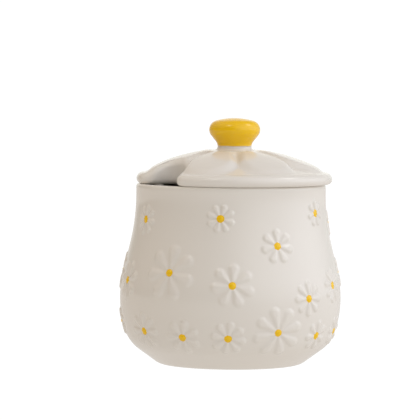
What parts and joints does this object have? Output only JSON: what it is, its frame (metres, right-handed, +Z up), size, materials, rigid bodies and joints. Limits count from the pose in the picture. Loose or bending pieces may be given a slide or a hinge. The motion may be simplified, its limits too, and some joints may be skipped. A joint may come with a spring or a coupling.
{
  "type": "honey pot with lid",
  "caption": "Lidded earthenware honey pot with a round belly, raised daisies, and a notched lid with a yellow mushroom knob.",
  "frame": {"origin": "middle of the flat foot, on the table", "axes": "+Z up along the pot's axis, -Y towards the front, +X to the right; the lid's notch is at the left of the front"},
  "size_m": [0.1246, 0.1252, 0.1378],
  "materials": {
    "white_glaze": "gloss transparent glaze over a white earthenware body, small yellow glazed daisy centres",
    "lid_glaze": "gloss transparent glaze over a white earthenware body, knob in opaque yellow glaze"
  },
  "bodies": {
    "root": {"pot": "white_glaze", "lid": "lid_glaze"}
  },
  "joints": []
}
